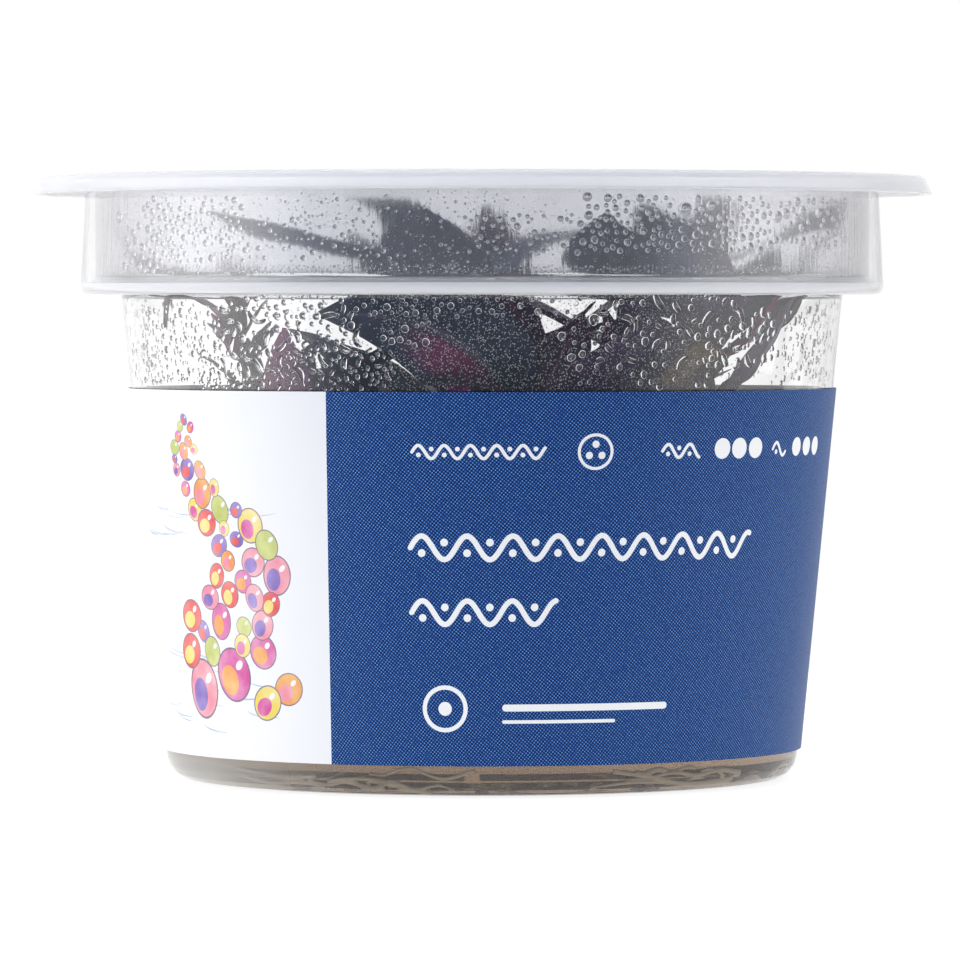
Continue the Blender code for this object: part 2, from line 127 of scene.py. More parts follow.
# Young leaves
YOUNG_FROM = 0.45  # share of a stem above which it bears young leaves
YOUNG_TURNS = (0, 15, -15, 30, -30)  # degrees by which one may turn to find room
YOUNG_THICK = 0.2 * MM
YOUNG_ROOM = 0.3 * MM  # thickness with which it has to clear the others
YOUNG_FROM_LID = 3 * MM
YOUNG_FROM_WALL = 0.8 * MM
YOUNG_START = 0.4  # millimetres from the middle of the stem
LEAST_HALF = 0.15 * MM  # half the width of its stalk

# Stems
STEM_RINGS = 70
STEM_SIDES = 18
NODE_GAP = 9 * MM  # from one swollen node of a stem to the next
NODE_LENGTH = 1.1 * MM

# Gel and roots
GEL_REACH = 0.05 * MM  # how far the gel goes into the plastic, as it wets it
GEL_CLOUD_AND_PAINTED_LIGHT = (-14 * MM, -31 * MM)  # X from which and up to which the gel gets paler, partly cloudy gel and partly painted light from the left
ROOTS_ROUND = 18  # that curl in the upper half of the gel
RIBBONS = 14  # broad ones low down against the wall of the cup
RIBBON_SPAN = (238, 345)  # degrees round from +X, between which they start
ROOT_HEIGHTS = (0.5 * MM, 9.5 * MM)  # least and greatest, above the bottom of the gel
ROOTS_DOWN = 4  # from each stem
ROOT_SIDES = 7
ROOT_STEPS = 40
DOWN_STEPS = 30

# Label: its print is laid out in millimetres round from the front and up from the table
LABEL_RADIUS = 40.4 * MM  # where a millimetre of the layout is a millimetre of film
LABEL_THICK = 0.18 * MM
LABEL_COLUMNS = 160
LABEL_ENDS = (1.2, 0.1)  # where they are: short of the back on one side and past it on the other
PANEL_EDGE = (-17.6, -19.0)  # where the white panel ends, at the top and at the foot of the label
WAVE_STEPS = 24  # points along one swing of the ornament
SMALL_WAVE = (39.5, 0.75, 2.9, 0.38)  # height of its middle, swing, length of a swing, width
SCREEN_PERIOD = 0.44 * MM  # of the blue print's fine dots
SCREEN_TURN = radians(6)
BUBBLES = 46
BUBBLE_TRIES = 6000
BUBBLE_INKS = "scarlet magenta yellow rose violet orange lime".split()
RIPPLES = 26
FILM_WHITE = (0.85, 0.85, 0.865)
# Inks: two colours between which each varies, and how much it does
INKS = {
    "panel": (FILM_WHITE, (0.82, 0.82, 0.84), 0.25),
    "white": ((0.95, 0.95, 0.93), (0.88, 0.88, 0.90), 0.25),
    "pencil": ((0.30, 0.40, 0.58), FILM_WHITE, 0.9),
    "line": ((0.16, 0.12, 0.20), (0.45, 0.30, 0.30), 0.7),
    "scarlet": ((0.72, 0.06, 0.07), (0.85, 0.30, 0.25), 0.8),
    "magenta": ((0.62, 0.06, 0.30), (0.85, 0.45, 0.65), 0.8),
    "rose": ((0.80, 0.22, 0.30), (0.92, 0.60, 0.62), 0.8),
    "yellow": ((0.80, 0.62, 0.10), (0.90, 0.82, 0.45), 0.8),
    "orange": ((0.82, 0.28, 0.06), (0.90, 0.60, 0.25), 0.8),
    "violet": ((0.18, 0.10, 0.42), (0.50, 0.40, 0.72), 0.8),
    "lime": ((0.45, 0.50, 0.10), (0.78, 0.80, 0.40), 0.8),
}

# Drops
DROP_SIDES = 12
DROP_GAP = -0.01 * MM  # drops reach a hair into the wall, as water that wets it does
FINE_DROP = 0.16 * MM  # larger drops get more faces
LONG_DROP = 1.4  # drops stretched by more may bend
MOST_BEND = 0.5  # of long drops, as a share of their length
DOME = ((1.0, 0.0), (0.97, 0.32), (0.82, 0.66), (0.5, 0.92))  # width and lift up a drop, as shares
LEDGE_DROPS = 150
COLLAR_DROP_TOP = 69.2 * MM
WALL_DROP_ENDS = (45.4 * MM, 57.8 * MM)

# Where drops sit: (degrees round from the front), (heights), (radii), count, (least and greatest
# stretch), how far they may lean, unevenness. Lengths are in millimetres.
COLLAR_DROPS = (
    ((14, 46), (62.2, 68.4), (0.26, 0.55), 190, (1, 1.05), 0, 0.03),
    ((46, 66), (62.6, 68.4), (0.32, 0.66), 46, (1, 1.1), 0, 0.04),
    ((-2, 16), (61.9, 66.4), (0.20, 0.42), 60, (1, 1.05), 0, 0.03),
    ((-30, -2), (59.9, 68.4), (0.10, 0.26), 110, (1, 1.05), 0, 0.03),
    ((-64, -54), (59.8, 65.4), (0.34, 0.55), 26, (1, 1.05), 0, 0.03),
    ((-58, -36), (60.9, 68.4), (0.20, 0.44), 130, (1, 1.05), 0, 0.03),
    ((-40, -14), (61.4, 66.4), (0.16, 0.40), 60, (1, 1.05), 0, 0.03),
    ((-75, 75), (59.4, 60.6), (0.08, 0.20), 600, (1, 1.3), 1, 0.12),
    ((75, 285), (59.6, 68.8), (0.16, 0.55), 420, (1, 1.1), 0, 0.03),
)
WALL_DROPS = (
    ((-46, -20), (48.4, 56.0), (0.26, 0.44), 34, (1.6, 3.6), 1.5, 0.05),
    ((-52, -14), (46.6, 51.4), (0.16, 0.32), 150, (1.1, 2.4), 1.5, 0.05),
    ((14, 46), (49.4, 57.0), (0.26, 0.42), 22, (1.6, 3.2), 1.5, 0.05),
    ((-72, -42), (47.0, 56.4), (0.14, 0.32), 150, (1, 1.3), 0.25, 0.04),
    ((-46, -20), (50.4, 56.4), (0.30, 0.55), 26, (1, 1.2), 1.3, 0.05),
    ((-40, 12), (54.8, 57.4), (0.24, 0.46), 60, (1, 1.03), 0, 0.02),
    ((-26, -6), (50.4, 56.9), (0.26, 0.50), 20, (1, 1.1), 0.6, 0.04),
    ((12, 46), (51.4, 57.4), (0.28, 0.75), 40, (1, 1.15), 1.2, 0.05),
    ((14, 40), (46.8, 52.4), (0.25, 0.50), 26, (1, 1.15), 1.2, 0.05),
    ((38, 54), (48.9, 55.4), (0.26, 0.46), 34, (1, 2.2), 0.8, 0.06),
    ((56, 74), (47.2, 55.4), (0.12, 0.26), 80, (1.1, 2.0), 0.15, 0.04),
    ((-40, 40), (57.0, 57.7), (0.08, 0.20), 200, (1, 1.1), 1, 0.04),
    ((75, 285), (46.6, 57.4), (0.14, 0.50), 520, (1, 1.3), 0.5, 0.05),
)
COLLAR_MIST = (((-75, 75), (59.4, 69.0), (0.05, 0.11), 1300, (1, 1), 0, 0),)
WALL_MIST = (
    ((-16, 36), (46.5, 57.4), (0.05, 0.11), 2300, (1, 1), 0, 0),
    ((-40, 46), (46.5, 57.4), (0.05, 0.10), 500, (1, 1), 0, 0),
)
# Large drops on the collar: degrees, height and radius
BIG_DROPS = ((30.2, 67.0, 0.85), (-66, 66.3, 0.72), (47.5, 66.2, 0.72), (23, 68.2, 0.5), (34.6, 67.4, 0.6))


class Graph:
    """Nodes of a shader, added by short calls."""

    def __init__(self, tree, coordinate):
        self.nodes, self.links = tree.nodes, tree.links
        self.where = self.nodes.new("ShaderNodeTexCoord").outputs[coordinate]

    def feed(self, socket, value):
        if isinstance(value, bpy.types.NodeSocket):
            self.links.new(value, socket)
        elif isinstance(value, tuple) and len(value) == 3 and socket.type == "RGBA":
            socket.default_value = (*value, 1)
        else:
            socket.default_value = value

    def parts(self):
        """The three coordinates of a place."""
        node = self.nodes.new("ShaderNodeSeparateXYZ")
        self.links.new(self.where, node.inputs[0])
        return node.outputs

    def attribute(self, label):
        node = self.nodes.new("ShaderNodeAttribute")
        node.attribute_name = label
        return node.outputs["Fac"]

    def maths(self, operation, *values):
        node = self.nodes.new("ShaderNodeMath")
        node.operation = operation
        for socket, value in zip(node.inputs, values):
            self.feed(socket, value)
        return node.outputs[0]

    def times(self, first, second):
        return self.maths("MULTIPLY", first, second)

    def mix(self, share, first, second):
        node = self.nodes.new("ShaderNodeMix")
        node.data_type = "RGBA"
        self.feed(node.inputs[0], share)
        self.feed(node.inputs[6], first)
        self.feed(node.inputs[7], second)
        return node.outputs[2]

    def ramp(self, value, low, high, least=0.0, most=1.0, smooth=False):
        node = self.nodes.new("ShaderNodeMapRange")
        if smooth:
            node.interpolation_type = "SMOOTHSTEP"
        for socket, number in zip(node.inputs, (value, low, high, least, most)):
            self.feed(socket, number)
        return node.outputs["Result"]

    def noise(self, scale, detail=2.0, stretch=None):
        """Noise, drawn out by a stretch for each axis if one is given."""
        vector = self.where
        if stretch:
            node = self.nodes.new("ShaderNodeMapping")
            node.inputs["Scale"].default_value = stretch
            self.links.new(vector, node.inputs["Vector"])
            vector = node.outputs["Vector"]
        node = self.nodes.new("ShaderNodeTexNoise")
        node.inputs["Scale"].default_value = scale
        node.inputs["Detail"].default_value = detail
        self.links.new(vector, node.inputs["Vector"])
        return node.outputs["Fac"]


class Look(Graph):
    """A material. Its shader's sockets are set by name, with underscores for spaces."""

    def __init__(self, name, **values):
        self.material = bpy.data.materials.new(name)
        self.material.use_nodes = True
        super().__init__(self.material.node_tree, "Object")
        self.shader = self.nodes["Principled BSDF"]
        for label, value in values.items():
            self.feed(self.shader.inputs[label.replace("_", " ")], value)

    def colour(self, value):
        self.feed(self.shader.inputs["Base Color"], value)

    def bump(self, height, strength, distance, before=None):
        node = self.nodes.new("ShaderNodeBump")
        node.inputs["Strength"].default_value = strength
        node.inputs["Distance"].default_value = distance
        self.links.new(height, node.inputs["Height"])
        if before:
            self.links.new(before, node.inputs["Normal"])
        self.links.new(node.outputs["Normal"], self.shader.inputs["Normal"])
        return node.outputs["Normal"]


def nodes_named(start):
    return sorted(node for node in frame["nodes"] if node.startswith(start))


def corners(node):
    """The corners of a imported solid, each once, and the pairs of corners that its edges join."""
    mesh = frame["nodes"][node].data
    places = {}
    points = []
    index = []
    for vertex in mesh.vertices:
        key = tuple(round(value / (0.001 * MM)) for value in vertex.co)
        if key not in places:
            places[key] = len(points)
            points.append(vertex.co.copy())
        index.append(places[key])
    pairs = {tuple(sorted((index[a], index[b]))) for a, b in (edge.vertices for edge in mesh.edges)}
    return points, {pair for pair in pairs if pair[0] != pair[1]}


def outline(node):
    """The outline of a turned solid as (radius, height), from the axis round and back to it."""
    points, pairs = corners(node)
    flat = 0.002 * MM
    cut = {i for i, p in enumerate(points) if abs(p.y) < flat and p.x > flat}
    joined = {i: [] for i in cut}
    for a, b in pairs:
        if a in cut and b in cut:
            joined[a].append(b)
            joined[b].append(a)
    ends = [i for i in cut if len(joined[i]) == 1]
    walk = [min(ends, key=lambda i: points[i].z)]
    while len(walk) < len(cut):
        walk.append(next(i for i in joined[walk[-1]] if i not in walk))
    turned = [(points[i].x, points[i].z) for i in walk]
    return [(0.0, turned[0][1])] + turned + [(0.0, turned[-1][1])]


def rounded(points):
    """The outline with its corners eased, so that edges catch the light."""
    eased = [points[0]]
    for before, corner, after in zip(points, points[1:], points[2:]):
        a, b, c = (Vector(p) for p in (before, corner, after))
        turn = (b - a).angle(c - b, 0.0)
        if turn < FLAT_TURN:
            eased.append(corner)
            continue
        back = min(FILLET * tan(turn / 2) * 1.6, 0.45 * (b - a).length, 0.45 * (c - b).length)
        start = b + (a - b).normalized() * back
        end = b + (c - b).normalized() * back
        for step in range(FILLET_STEPS + 1):
            t = step / FILLET_STEPS
            eased.append(tuple(start * (1 - t) ** 2 + b * 2 * t * (1 - t) + end * t**2))
    return eased + [points[-1]]


def held(points):
    """The outline with points near both ends of its long lines, which keep their shading flat."""
    kept = [points[0]]
    for start, end in zip(points, points[1:]):
        a, b = Vector(start), Vector(end)
        if (b - a).length > 4 * GRIP:
            along = (b - a).normalized() * GRIP
            kept += [tuple(a + along), tuple(b - along)]
        kept.append(end)
    return kept


def radii_at(points, height):
    """The radii where an outline crosses a height, from the axis out."""
    found = []
    for (r0, z0), (r1, z1) in zip(points, points[1:]):
        if (z0 - height) * (z1 - height) < 0:
            found.append(r0 + (r1 - r0) * (height - z0) / (z1 - z0))
    return sorted(found)


def new_object(name, vertices, faces, materials, indices=None, outward=True):
    mesh = bpy.data.meshes.new(name)
    mesh.from_pydata([tuple(v) for v in vertices], [], faces)
    for look in materials:
        mesh.materials.append(look)
    if indices:
        mesh.polygons.foreach_set("material_index", indices)
    if outward:
        body = bmesh.new()
        body.from_mesh(mesh)
        bmesh.ops.recalc_face_normals(body, faces=body.faces)
        body.to_mesh(mesh)
        body.free()
    mesh.shade_smooth()
    made = bpy.data.objects.new(name, mesh)
    bpy.context.scene.collection.objects.link(made)
    return made


def place(piece, slot, *nodes):
    """A piece rides on the root and stands for its solids, which are hidden. The slot is not used."""
    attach(piece, "root")
    if nodes:
        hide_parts(*nodes)


def lathe(name, points, materials, index_of=None):
    """A body turned round the axis from an outline that starts and ends on it."""
    vertices = [(0, 0, points[0][1])]
    for radius, height in points[1:-1]:
        for step in range(SEGMENTS):
            angle = tau * step / SEGMENTS
            vertices.append((radius * cos(angle), radius * sin(angle), height))
    top = len(vertices)
    vertices.append((0, 0, points[-1][1]))
    faces = []
    for step in range(SEGMENTS):
        low = range(1 + step, top, SEGMENTS)
        high = range(1 + (step + 1) % SEGMENTS, top, SEGMENTS)
        faces.append((0, high[0], low[0]))
        faces += zip(low, high, high[1:], low[1:])
        faces.append((low[-1], high[-1], top))
    numbers = range(len(points) - 1)
    indices = [index_of(number) if index_of else 0 for number in numbers] * SEGMENTS
    return new_object(name, vertices, faces, materials, indices)


class Body:
    """Vertices and faces of a piece, gathered part by part."""

    def __init__(self):
        self.vertices = []
        self.faces = []

    def tube(self, at, steps, sides):
        """Adds a closed tube. For a share of its way, at gives its middle and its radius."""
        first = len(self.vertices)
        line = [at(step / steps) for step in range(steps + 1)]
        side = Vector((1, 0, 0))
        for number, (point, radius) in enumerate(line):
            along = (line[min(number + 1, steps)][0] - line[max(number - 1, 0)][0]).normalized()
            side = (side - along * side.dot(along)).normalized()
            other = along.cross(side)
            for step in range(sides):
                angle = tau * step / sides
                self.vertices.append(point + (side * cos(angle) + other * sin(angle)) * radius)
        for low in range(first, first + steps * sides, sides):
            for step in range(sides):
                after = (step + 1) % sides
                self.faces.append((low + step, low + after, low + sides + after, low + sides + step))
        self.faces.append(tuple(range(first + sides - 1, first - 1, -1)))
        self.faces.append(tuple(range(first + steps * sides, len(self.vertices))))

    def made(self, name, look):
        return new_object(name, self.vertices, self.faces, [look])


def heading(way):
    """The level direction at an angle round the axis from +X."""
    return Vector((cos(way), sin(way), 0))


def from_front(radius, angle, height):
    """The point at an angle round the axis from the front."""
    return Vector((radius * sin(angle), -radius * cos(angle), height))


def smooth_at(values, share):
    """A Catmull-Rom curve through evenly numbered values."""
    place_on = share * (len(values) - 1)
    low = min(int(place_on), len(values) - 2)
    t = place_on - low
    p1, p2 = values[low], values[low + 1]
    p0 = values[low - 1] if low > 0 else p1 * 2 - p2
    p3 = values[low + 2] if low + 2 < len(values) else p2 * 2 - p1
    return (p1 * 2 + (p2 - p0) * t + (p0 * 2 - p1 * 5 + p2 * 4 - p3) * t**2
            + (p1 * 3 - p0 - p2 * 3 + p3) * t**3) / 2


def clear_plastic(name, haze, tint, clearness=1.0, streaks=0.0):
    """Moulded plastic with faint flow lines, and fine streaks where fog has run down it."""
    look = Look(name, Base_Color=tint, Roughness=haze, IOR=1.49, Transmission_Weight=clearness)
    waves = look.bump(look.noise(1.0, stretch=(260, 260, 40)), FLOW, 0.3 * MM)
    if streaks:
        look.bump(look.noise(1.0, 3, stretch=(1500, 1500, 110)), streaks, 0.25 * MM, before=waves)
    return look.material


def water(name, clearness, haze):
    return Look(name, Base_Color=(1, 1, 1), Roughness=haze, IOR=1.33, Transmission_Weight=clearness).material


def gel_look():
    """Agar: nearly clear, beige where it is deep, and paler and more diffuse towards the left: partly cloudy
    gel, partly painted light where the stronger light from the left falls.
    """
    look = Look("nutrient gel", Roughness=0.02, IOR=1.34)
    # Painted light: towards the left the gel turns paler and more diffuse where the stronger light falls, on
    # top of its own cloudiness
    left = look.ramp(look.parts()["X"], *GEL_CLOUD_AND_PAINTED_LIGHT)
    look.colour(look.mix(left, (0.60, 0.49, 0.39), (1.0, 0.95, 0.87)))
    look.feed(look.shader.inputs["Transmission Weight"], look.ramp(left, 0.0, 1.0, 0.97, 0.4))
    look.bump(look.noise(160, 3), 0.15, 0.3 * MM)
    depth = look.nodes.new("ShaderNodeVolumeAbsorption")
    depth.inputs["Color"].default_value = (0.72, 0.66, 0.60, 1)
    depth.inputs["Density"].default_value = 50.0
    look.links.new(depth.outputs["Volume"], look.nodes["Material Output"].inputs["Volume"])
    return look.material


def root_look():
    look = Look("roots", Roughness=0.5)
    look.colour(look.mix(look.noise(300), (1.0, 0.97, 0.90), (0.90, 0.83, 0.70)))
    return look.material


def stem_look():
    look = Look("stem", Roughness=0.42)
    grain = look.noise(1.0, 3, stretch=(900, 900, 90))
    look.colour(look.mix(grain, (0.16, 0.035, 0.05), (0.10, 0.08, 0.035)))
    look.bump(grain, 0.4, 0.1 * MM)
    return look.material


def leaf_look(name, upper, under, vein, streak=None):
    """A mottled leaf: dark upper side, lilac underside, paler midrib, side veins and perhaps a streak."""
    look = Look(name, Roughness=0.4, IOR=1.42, Specular_IOR_Level=0.12)
    mottle = look.noise(420, 5)
    along = look.attribute("along")
    half = look.attribute("across")
    across = look.maths("ABSOLUTE", half)
    base = look.mix(look.ramp(look.attribute("face"), -0.2, 0.2), under, upper)
    blushed = look.mix(look.ramp(look.noise(90), 0.5, 0.75, 0.0, 0.55), base, under)
    shade = look.ramp(mottle, 0.35, 0.7, 0.0, 0.6)
    deep = look.mix(shade, blushed, tuple(part * 0.45 for part in upper))
    rimmed = look.mix(look.ramp(across, 0.8, 1.0, 0.0, 0.5), deep, under)
    if streak:
        band = look.times(look.ramp(half, 0.05, 0.14), look.ramp(half, 0.85, 0.6))
        reach = look.times(band, look.ramp(along, 0.72, 0.55))
        rimmed = look.mix(look.times(reach, 0.85), rimmed, streak)
    rib = look.maths("LESS_THAN", across, 0.06)
    phase = look.maths("SUBTRACT", look.times(along, VEIN_PAIRS), across)
    ripple = look.maths("SINE", look.times(phase, tau))
    lines = look.times(look.maths("GREATER_THAN", ripple, 0.95), 0.35)
    strength = look.maths("MAXIMUM", look.times(rib, 0.8), lines)
    look.colour(look.mix(strength, rimmed, vein))
    look.bump(mottle, 0.35, 0.15 * MM)
    return look.material


def layers(beside, start):
    """Rows of corners outward from a first row, each the next ones along the edges."""
    rows = []
    seen = set()
    row = list(start)
    while row:
        rows.append(row)
        seen.update(row)
        row = sorted({j for i in row for j in beside[i]} - seen)
    return rows


def leaf_rows(node, stem_points):
    """The rows of a leaf's solid from stalk to tip: left edge, midrib, right edge and upper side."""
    points, pairs = corners(node)
    beside = {i: set() for i in range(len(points))}
    for a, b in pairs:
        beside[a].add(b)
        beside[b].add(a)

    def apart(pair):
        return (points[pair[0]] - points[pair[1]]).length

    def spread(row):
        return max(apart(pair) for pair in combinations(row, 2))

    first = min(range(len(points)), key=lambda i: min((points[i] - s).length for s in stem_points))
    near = sorted(range(len(points)), key=lambda i: apart((i, first)))[:12]
    trials = (layers(beside, start) for count in (6, 5, 4) for start in combinations(near, count))
    whole = [rows for rows in trials if len(rows) == LEAF_ROWS and all(len(row) > 1 for row in rows)]
    rows = min(whole, key=lambda rows: sum(spread(row) for row in rows))
    far = [max(combinations(sorted(row), 2), key=apart) for row in rows]
    directions = [(points[b] - points[a]).normalized() for a, b in far]
    directions[0] = directions[1]
    directions[-1] = directions[-2]
    made = []
    before = directions[0]
    for row, across in zip(rows, directions):
        if across.dot(before) < 0:
            across = -across
        before = across
        order = sorted(row, key=lambda i: points[i].dot(across))
        third = max(len(order) // 3, 1)
        groups = (order[:third], order[third:-third] or order, order[-third:])
        made.append([sum((points[i] for i in group), Vector()) / len(group) for group in groups])
    sides = []
    for number, (left, middle, right) in enumerate(made):
        after = made[min(number + 1, len(made) - 1)][1]
        earlier = made[max(number - 1, 0)][1]
        sides.append((after - earlier).cross(right - left).normalized())
    inner = list(zip(made, sides))[1:-1]
    fold = sum(((left + right) / 2 - middle).dot(up) for (left, middle, right), up in inner)
    if fold < 0:
        sides = [-up for up in sides]
    return made, sides


def leaf_grid(rows, sides, phase, sign, lengths, widths, thick):
    """One face of a blade: each point's place, and where it is along and across the blade."""
    for i in range(lengths + 1):
        along = i / lengths
        left, middle, right = (smooth_at([row[k] for row in rows], along) for k in range(3))
        up = smooth_at(sides, along).normalized()
        full = sin(pi * min(max(along, 0.02), 0.98))
        scale = full * thick / LEAF_THICK
        for j in range(widths + 1):
            across = 2 * j / widths - 1
            edge = left if across < 0 else right
            size = abs(across)
            vein = max(0.0, sin(tau * (along * VEIN_PAIRS - size)) - 0.6) / 0.4
            ripple = sin(phase + along * MARGIN_PACE + (3 if across < 0 else 0))
            rise = -VEIN_RELIEF * vein * scale * (1 - size)
            rise += MARGIN_WAVE * scale * size**2 * ripple
            rise += BLADE_CROWN * scale * (size - size**2)
            half = thick * (1 - 0.65 * size) * (0.5 + 0.5 * full) / 2
            yield middle + (edge - middle) * size + up * (rise + sign * half), along, across


class Blades(Body):
    """Leaf blades, each point with its place along and across its blade."""

    def __init__(self, lengths, widths, thick):
        super().__init__()
        self.size = (lengths, widths, thick)
        self.notes = {"along": [], "across": [], "face": []}

    def add(self, rows, sides, phase):
        lengths, widths, _ = self.size
        first = len(self.vertices)
        for sign in (1, -1):
            for spot, *place_on in leaf_grid(rows, sides, phase, sign, *self.size):
                self.vertices.append(spot)
                for values, value in zip(self.notes.values(), (*place_on, sign)):
                    values.append(value)
        next_row = widths + 1
        under = (lengths + 1) * next_row
        for i in range(lengths):
            row = first + i * next_row
            for a in range(row, row + widths):
                b = a + next_row
                self.faces.append((a, a + 1, b + 1, b))
                self.faces.append((a + under, b + under, b + under + 1, a + under + 1))
            for a in (row, row + widths):
                self.faces.append((a, a + next_row, a + next_row + under, a + under))
        for row in (first, first + lengths * next_row):
            for a in range(row, row + widths):
                self.faces.append((a, a + under, a + under + 1, a + 1))

    def made(self, name, look):
        piece = super().made(name, look)
        for label, values in self.notes.items():
            piece.data.attributes.new(label, "FLOAT", "POINT").data.foreach_set("value", values)
        return piece


def build_leaves(looks):
    """Each leaf with a crease, arched veins and a wavy margin, on its solid's own rows."""
    dice = random.Random(SEED)
    kinds = {f"leaf_{leaf}": kind for kind, row in LEAF_KINDS.items() for leaf in row[0].split()}
    for number, node in enumerate(nodes_named("leaf_")):
        _, stem, own = node.split("_")
        stem_points, _ = corners(f"stem_{stem}")
        slot = "leaf_lilac" if int(own) % 2 else "leaf_green"
        kind = kinds.get(node, OTHER_LEAVES[number % len(OTHER_LEAVES)])
        blade = Blades(LEAF_LENGTHS, LEAF_WIDTHS, LEAF_THICK)
        blade.add(*leaf_rows(node, stem_points), dice.uniform(0, tau))
        place(blade.made(f"fine_{node}", looks[kind]), slot, node)


def young_leaf(start, way, rise, droop, length, width):
    """Rows of a small leaf that arches away from its stem, and its upper side at each."""
    up = Vector((0, 0, 1))
    flat = heading(way)
    across = flat.cross(up)
    spot = start.copy()
    rows = []
    sides = []
    for number in range(LEAF_ROWS):
        share = number / (LEAF_ROWS - 1)
        tilt = rise - droop * share
        along = flat * cos(tilt) + up * sin(tilt)
        side = up * cos(tilt) - flat * sin(tilt)
        half = max(width / 2 * sin(pi * share**0.8) ** 0.8 if share < 1 else 0, LEAST_HALF)
        rows.append([spot - across * half, spot - side * half * 0.2, spot + across * half])
        sides.append(side)
        spot = spot + along * length / (LEAF_ROWS - 1)
    return rows, sides


def build_shoots(inside, look):
    """Young leaves in fours up each stem's upper half, closer and smaller towards its tip."""
    dice = random.Random(SEED + 5)
    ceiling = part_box("lid")[1][2] - YOUNG_FROM_LID
    blades = Blades(10, 6, YOUNG_THICK)
    grown = []
    for piece in bpy.data.objects:
        if piece.name.startswith("fine_leaf_"):
            spots = [vertex.co for vertex in piece.data.vertices]
            grown.append(BVHTree.FromPolygons(spots, [tuple(face.vertices) for face in piece.data.polygons]))

    def fits(rows, tree):
        points = [point for row in rows for point in row]
        if any(hypot(p.x, p.y) > radii_at(inside, p.z)[0] - YOUNG_FROM_WALL for p in points):
            return False
        if max(point.z for point in points) > ceiling:
            return False
        return not any(tree.overlap(other) for other in grown)

    for node in nodes_named("stem_"):
        middles = [middle for middle, _ in stem_line(node)]
        share = YOUNG_FROM
        turn = dice.uniform(0, tau)
        while share <= 1:
            ripe = (1 - share) / (1 - YOUNG_FROM)
            for side in range(4):
                length = (4.5 + 8.5 * ripe) * dice.uniform(0.8, 1.2) * MM
                width = length * dice.uniform(0.34, 0.46)
                rise = radians(dice.uniform(58, 78) - 25 * ripe)
                droop = radians(dice.uniform(0, 35) + 20 * ripe)
                for extra in YOUNG_TURNS:
                    way = turn + side * pi / 2 + radians(extra)
                    start = smooth_at(middles, share) + heading(way) * YOUNG_START * MM
                    rows, sides = young_leaf(start, way, rise, droop, length, width)
                    trial = Blades(LEAF_ROWS - 1, 2, YOUNG_ROOM)
                    trial.add(rows, sides, 0)
                    tree = BVHTree.FromPolygons(trial.vertices, trial.faces)
                    if fits(rows, tree):
                        grown.append(tree)
                        blades.add(rows, sides, dice.uniform(0, tau))
                        break
            turn += dice.uniform(0.6, 1.0)
            share += 0.05 + 0.05 * ripe
    place(blades.made("young_leaves", look), "leaf_lilac")


def stem_line(node):
    """The middle and radius of a stem's solid at each of its rings, from the gel up."""
    points, _ = corners(node)
    rings = {}
    for point in points:
        rings.setdefault(round(point.z / (0.01 * MM)), []).append(point)
    line = []
    for _, ring in sorted(rings.items()):
        middle = sum(ring, Vector()) / len(ring)
        line.append((middle, (ring[0] - middle).length))
    return line


def build_stems():
    """Stems with swollen nodes."""
    look = stem_look()
    for node in nodes_named("stem_"):
        middles, radii = zip(*stem_line(node))

        def at(share):
            middle = smooth_at(middles, share)
            near = abs(((middle.z - middles[0].z) / NODE_GAP + 0.5) % 1 - 0.5) * NODE_GAP
            swell = 0.86 + 0.34 * exp(-((near / NODE_LENGTH) ** 2))
            return middle, smooth_at(radii, share) * swell

        body = Body()
        body.tube(at, STEM_RINGS, STEM_SIDES)
        place(body.made(f"fine_{node}", look), "stem", node)


def build_roots(gel_outline):
    """Cream roots that curl in the gel, most of them round the foot of the cup."""
    dice = random.Random(SEED + 1)
    body = Body()
    floor = min(height for _, height in gel_outline)
    lowest, highest = (floor + height for height in ROOT_HEIGHTS)
    for number in range(ROOTS_ROUND + RIBBONS):
        ribbon = number >= ROOTS_ROUND
        angle = radians(dice.uniform(*(RIBBON_SPAN if ribbon else (0, 360))))
        turn = dice.uniform(0.15, 0.6) * dice.choice((-1, 1))
        height = floor + (dice.uniform(0.6, 2.4) if ribbon else dice.uniform(4, 9)) * MM
        inset = (0.3 if ribbon else 0.8 + 8 * dice.random()) * MM
        rise = dice.uniform(-0.8, 1.2) * MM
        curl = dice.uniform(0.2, 0.7) * MM
        waves = dice.uniform(0.6, 2.2)
        phase = dice.uniform(0, tau)
        thick = (dice.uniform(0.24, 0.40) if ribbon else dice.uniform(0.12, 0.26)) * MM

        def round_at(share):
            here = height + rise * share + curl * sin(phase + share * waves * tau)
            here = min(max(here, lowest), highest)
            room = radii_at(gel_outline, here)[-1] - inset - curl * (1 + cos(phase + share * 5)) - thick
            way = angle + turn * share
            return Vector((room * cos(way), room * sin(way), here)), thick * (1 - 0.6 * share)

        body.tube(round_at, ROOT_STEPS, ROOT_SIDES)
    for node in nodes_named("stem_"):
        base = stem_line(node)[0][0]
        for _ in range(ROOTS_DOWN):
            way = dice.uniform(0, tau)
            far = dice.uniform(5, 12) * MM
            drop = base.z - floor - dice.uniform(3, 6) * MM
            phase = dice.uniform(0, tau)

            def down_at(share):
                out = heading(way + share) * far * share
                down = -drop * sin(share * pi / 2) + 0.4 * MM * sin(phase + 9 * share)
                return base + out + Vector((0, 0, down)), (0.26 - 0.18 * share) * MM

            body.tube(down_at, DOWN_STEPS, ROOT_SIDES)
    place(body.made("roots", root_look()), "stem")


